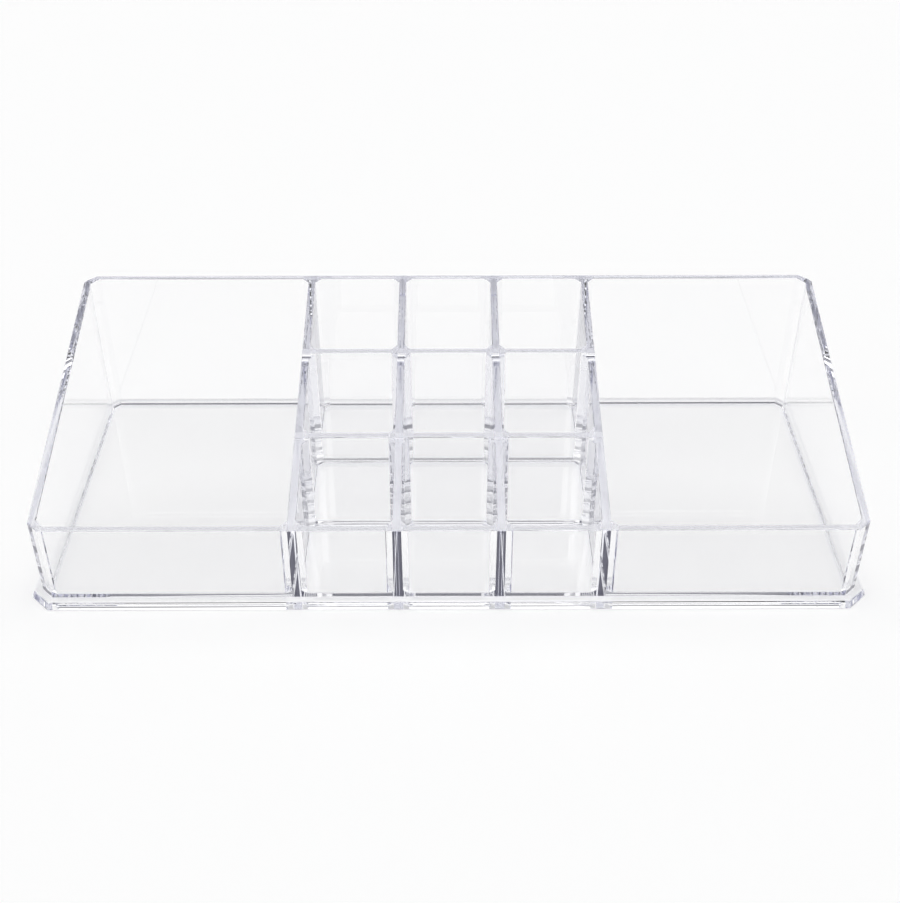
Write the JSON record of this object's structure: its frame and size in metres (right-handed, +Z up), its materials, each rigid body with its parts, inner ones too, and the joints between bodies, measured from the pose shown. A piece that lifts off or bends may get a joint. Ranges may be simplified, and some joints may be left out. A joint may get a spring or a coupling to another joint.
{
  "type": "vanity organizer",
  "caption": "Clear open-topped vanity organizer with a sloped rim: a wide tray at each side and a grid of small upright cells between them.",
  "frame": {"origin": "centre of the tray, on the surface that it stands on", "axes": "+X to the right along the long side, -Y out of the low front, +Z up"},
  "size_m": [0.2634, 0.1152, 0.056],
  "materials": {
    "clear_plastic": "clear, colourless, polished plastic with a faint violet-grey cast at the edges"
  },
  "bodies": {
    "root": {"base_plate": "clear_plastic", "front_wall": "clear_plastic", "back_wall": "clear_plastic", "left_wall": "clear_plastic", "right_wall": "clear_plastic", "divider_outer_left": "clear_plastic", "divider_inner_left": "clear_plastic", "divider_inner_right": "clear_plastic", "divider_outer_right": "clear_plastic", "cross_divider_front": "clear_plastic", "cross_divider_back": "clear_plastic"}
  },
  "joints": []
}
